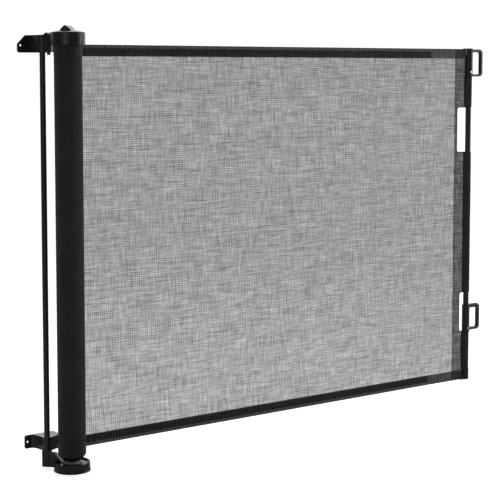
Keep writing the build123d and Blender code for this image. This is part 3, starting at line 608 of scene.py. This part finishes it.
def make_piping(name, line):
    """Round cord sewn along a window's rim."""
    spokes = [TURN * k / PIPING_SIDES for k in range(PIPING_SIDES)]
    rings = []
    for i, place in enumerate(line):
        before, after = line[max(i - 1, 0)], line[min(i + 1, len(line) - 1)]
        along = (Vector(after) - Vector(before)).normalized()
        side = along.cross(Vector((0, 1, 0))).normalized()
        up = side.cross(along)
        rings.append([Vector(place) + PIPING_R * (math.cos(a) * side + math.sin(a) * up) for a in spokes])
    swept(name, rings, wound_cloth, "pull_bar_set")


hem_front = cut_cloth("hem_cloth", panel_y - HEM_HALF)
cut_cloth("hem_back_cloth", panel_y + HEM_HALF)
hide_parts("hem_band")
for title, window in windows.items():
    make_piping(f"{title}_window_piping", [(x, panel_y, z) for x, z in window_outline(*window)])

# ---- Sleeves and corner patches ---------------------------------------------
SLEEVE_SEAM = 15 * MM  # from the bar's axis
SEAM_LIP = 0.25 * MM  # how far the seam stands out from the hem's faces
SLEEVE_TUCK = 0.2 * MM  # keeps the slack within the sleeve's CAD radius
SLEEVE_SLACK = 0.25 * MM
CREASES_ROUND, CREASES_UP = 2, 40
SLEEVE_ROW = 6 * MM
SLEEVE_STEPS = 40
TAIL_STEPS = 4
PATCH_STEPS = 40
PATCH_LIFT = 0.25 * MM


def between(start, end, share):
    return tuple(a + (b - a) * share for a, b in zip(start, end))


def sleeve_ring(z):
    """Tear-drop section: round the bar, then two straight walls that close on the hem."""
    spread = math.pi - math.acos(sleeve_r / SLEEVE_SEAM)
    ring = []
    for i in range(SLEEVE_STEPS + 1):
        angle = -spread + 2 * spread * i / SLEEVE_STEPS
        spot = Vector((math.cos(angle) * CREASES_ROUND, math.sin(angle) * CREASES_ROUND, z * CREASES_UP))
        slack = SLEEVE_SLACK * noise.noise(spot)
        ring.append(about(bar, sleeve_r - SLEEVE_TUCK + slack, angle))
    first, last = ring[0], ring[-1]
    lip = HEM_HALF + SEAM_LIP
    seam_x = bar.x - SLEEVE_SEAM
    ring += [between(last, (seam_x, bar.y + lip), k / TAIL_STEPS) for k in range(1, TAIL_STEPS + 1)]
    ring += [between((seam_x, bar.y - lip), first, k / TAIL_STEPS) for k in range(TAIL_STEPS)]
    return [(x, y, z) for x, y in ring]


def make_sleeve(sleeve):
    """Cloth wrapped tight round the bar and closed by a seam on the hem's side."""
    low, high = (corner.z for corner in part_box(f"{sleeve}_sleeve"))
    rows = round((high - low) / SLEEVE_ROW)
    rings = [sleeve_ring(low + (high - low) * i / rows) for i in range(rows + 1)]
    made = swept(f"{sleeve}_sleeve_cloth", rings, wound_cloth, "pull_bar_set")
    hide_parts(f"{sleeve}_sleeve")


def make_patch(end):
    """Webbing folded over the hem's corner."""
    left = hem_x - HEM_LAP
    places = [left + (hem_end_x - left) * i / PATCH_STEPS for i in range(PATCH_STEPS + 1)]
    rings = [tape_ring(x, panel_y, end, tape_half + PATCH_LIFT) for x in places]
    made = swept(f"{end}_corner_webbing", rings, corner_tape, "pull_bar_set")
    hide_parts(f"{end}_corner_tab")


for sleeve in SLEEVES:
    make_sleeve(sleeve)
for end in tape_lows:
    make_patch(end)

# ---- Stitching --------------------------------------------------------------
STITCH = 3.4 * MM
STITCH_GAP = 1.1 * MM
THREAD_R = 0.32 * MM
THREAD_SIDES = 6
THREAD_LIFT = 0.02 * MM
# Share of a stitch's length, with the thread's lift and width there in thread radii.
STITCH_SHAPE = ((0, -0.5, 0.4), (0.2, 0.5, 1), (0.8, 0.5, 1), (1, -0.5, 0.4))
TAPE_SEAM_START = 42 * MM  # from the roller's axis
TAPE_SEAM_INSET = 3.2 * MM  # from the tape's inner edge
PATCH_SEAM_INSET = 3 * MM
HEM_SEAM_INSET = 4 * MM
PATCH_SEAM_END = 2 * MM
SLEEVE_SEAM_INSET = 5 * MM
WINDOW_MARGIN = 3 * MM
HEM_SEAM_MARGIN = 1 * MM


def stitches(name, start, end, way, body):
    """Row of lockstitches on the front (way -1) or back (way 1), each dipping in at both its ends."""
    start, end, outward = Vector(start), Vector(end), Vector((0, way, 0))
    along = (end - start).normalized()
    side = along.cross(outward)
    step = STITCH + STITCH_GAP
    points, faces = [], []
    for i in range(int((end - start).length / step)):
        first = start + along * i * step
        base = len(points)
        for share, lift, width in STITCH_SHAPE:
            centre = first + along * STITCH * share + outward * THREAD_R * lift
            for k in range(THREAD_SIDES):
                angle = TURN * k / THREAD_SIDES
                spoke = math.cos(angle) * side + math.sin(angle) * outward
                points.append(centre + THREAD_R * width * spoke)
        last = len(points) - THREAD_SIDES
        for low in range(base, last, THREAD_SIDES):
            high = low + THREAD_SIDES
            for k in range(THREAD_SIDES):
                m = (k + 1) % THREAD_SIDES
                faces.append((low + k, low + m, high + m, high + k))
        faces.append(tuple(base + k for k in reversed(range(THREAD_SIDES))))
        faces.append(tuple(last + k for k in range(THREAD_SIDES)))
    return piece(name, points, faces, black_thread, body)


def stitch_tape(end, face, way):
    """Seams of one edge tape and of its corner patch, on one face."""
    outer = 1 if end == "top" else -1
    edge = tape_lows[end] + (tape_width if end == "bottom" else 0)
    seam = edge + outer * TAPE_SEAM_INSET
    rim = (mesh_top if end == "top" else mesh_low) - outer * PATCH_SEAM_INSET
    y = roll_axis.y + taped_roll_r + tape_half + way * (tape_half + THREAD_LIFT)
    start, stop = (roll_axis.x + TAPE_SEAM_START, y, seam), (hem_x - SETTLE_START, y, seam)
    retracts(stitches(f"{end}_tape_{face}_stitches", start, stop, way, "wall_frame"))
    y = panel_y + way * (tape_half + PATCH_LIFT + THREAD_LIFT)
    start, stop = (hem_x + HEM_SEAM_INSET, y, seam), (hem_end_x - PATCH_SEAM_END, y, seam)
    stitches(f"{end}_corner_{face}_stitches", start, stop, way, "pull_bar_set")
    x = hem_x + PATCH_SEAM_INSET
    stitches(f"{end}_corner_{face}_side_stitches", (x, y, seam), (x, y, rim), way, "pull_bar_set")


def stitch_hem(face, way):
    """Seams of the hem on one face: along the mesh, and along each sleeve."""
    low = mesh_low + tape_width + HEM_SEAM_MARGIN
    high = mesh_top - tape_width - HEM_SEAM_MARGIN
    x, y = hem_x + HEM_SEAM_INSET, panel_y + way * (HEM_HALF + THREAD_LIFT)
    stitches(f"hem_{face}_stitches", (x, y, low), (x, y, high), way, "pull_bar_set")
    x = hem_end_x - SLEEVE_SEAM_INSET
    ranges = (
        (grip_high + WINDOW_MARGIN, high),
        (low_window_high + WINDOW_MARGIN, grip_low - WINDOW_MARGIN),
        (low, low_window_low - WINDOW_MARGIN),
    )
    for sleeve, (start, stop) in zip(SLEEVES, ranges):
        stitches(f"{sleeve}_seam_{face}_stitches", (x, y, start), (x, y, stop), way, "pull_bar_set")


FACES = (("front", -1), ("back", 1))
for end in tape_lows:
    for face, way in FACES:
        stitch_tape(end, face, way)
for face, way in FACES:
    stitch_hem(face, way)

# ---- Stage and light --------------------------------------------------------
FLOOR_HALF = 30
FLOOR_GAP = 1 * MM
FLOOR_GLOW = 0.8  # as the camera sees it, so that the pale floor stays plain
WORLD_SEEN = 1.05
WORLD_FRONT = 0.05
WORLD_BACK = 1.6
WORLD_SPREAD = (0.1, 0.75)
AIM_HEIGHT = 0.45
LAMPS = (  # name, place (back, right, up) from the gate's middle, size, power
    ("top_softbox", (0.2, -0.3, 2.4), (1.6, 1.0), 22),
    ("right_softbox", (0.1, 2.2, 0.9), (0.7, 1.6), 9),
    ("front_fill", (-3.2, -0.9, 1.3), (1.4, 1.4), 6),
)

towards_back = Vector((math.sin(CAMERA_TURN), math.cos(CAMERA_TURN), 0))
towards_right = Vector((math.cos(CAMERA_TURN), -math.sin(CAMERA_TURN), 0))


def place_by(back, right, up):
    """Place given from the gate's middle in the camera's plan directions."""
    centre = Vector(((roll_axis.x + bar.x) / 2, panel_y, floor_z))
    return centre + towards_back * back + towards_right * right + Vector((0, 0, up))


def make_stage():
    half = FLOOR_HALF
    corners = [(-half, -half, 0), (half, -half, 0), (half, half, 0), (-half, half, 0)]
    mesh = bpy.data.meshes.new("floor")
    mesh.from_pydata(corners, [], [(0, 1, 2, 3)])
    floor = bpy.data.objects.new("floor", mesh)
    floor.location = (0, 0, floor_z - FLOOR_GAP)
    bpy.context.scene.collection.objects.link(floor)
    paint = Finish("floor_paint", grey(0.6), 0.9, Specular_IOR_Level=0.05, Emission_Color=(1, 1, 1, 1))
    seen = paint.node("LightPath", {}, "Is Camera Ray")
    paint.give("Emission Strength", paint.math("MULTIPLY", seen, FLOOR_GLOW))
    mesh.materials.append(paint.material)


def make_lamp(name, place, size, power):
    data = bpy.data.lights.new(name, "AREA")
    data.shape = "RECTANGLE"
    data.size, data.size_y = size
    data.energy = power
    lamp = bpy.data.objects.new(name, data)
    bpy.context.scene.collection.objects.link(lamp)
    lamp.location = place_by(*place)
    lamp.rotation_mode = "QUATERNION"
    aim = place_by(0, 0, AIM_HEIGHT) - lamp.location
    lamp.rotation_quaternion = aim.to_track_quat("-Z", "Y")


def make_world():
    """White surroundings, bright behind the gate and dim in front of it, as in a lit studio cove."""
    world = bpy.data.worlds.new("studio")
    world.use_nodes = True
    tree = world.node_tree
    ground = tree.nodes["Background"]
    place = tree.nodes.new("ShaderNodeTexCoord").outputs["Generated"]
    facing = tree.nodes.new("ShaderNodeVectorMath")
    facing.operation = "DOT_PRODUCT"
    facing.inputs[1].default_value = towards_back
    tree.links.new(place, facing.inputs[0])
    spread = tree.nodes.new("ShaderNodeMapRange")
    spread.interpolation_type = "SMOOTHSTEP"
    levels = (*WORLD_SPREAD, WORLD_FRONT, WORLD_BACK)
    for socket, value in zip(("From Min", "From Max", "To Min", "To Max"), levels):
        spread.inputs[socket].default_value = value
    tree.links.new(facing.outputs["Value"], spread.inputs["Value"])
    seen = tree.nodes.new("ShaderNodeLightPath").outputs["Is Camera Ray"]
    chosen = tree.nodes.new("ShaderNodeMix")
    factor, unseen_level, seen_level = chosen.inputs[0], chosen.inputs[2], chosen.inputs[3]
    tree.links.new(seen, factor)
    tree.links.new(spread.outputs["Result"], unseen_level)
    seen_level.default_value = WORLD_SEEN
    tree.links.new(chosen.outputs[0], ground.inputs["Strength"])
    ground.inputs["Color"].default_value = (1, 1, 1, 1)
    bpy.context.scene.world = world


make_stage()
make_world()
for name, place, size, power in LAMPS:
    make_lamp(name, place, size, power)
bpy.context.scene.view_settings.view_transform = "Standard"
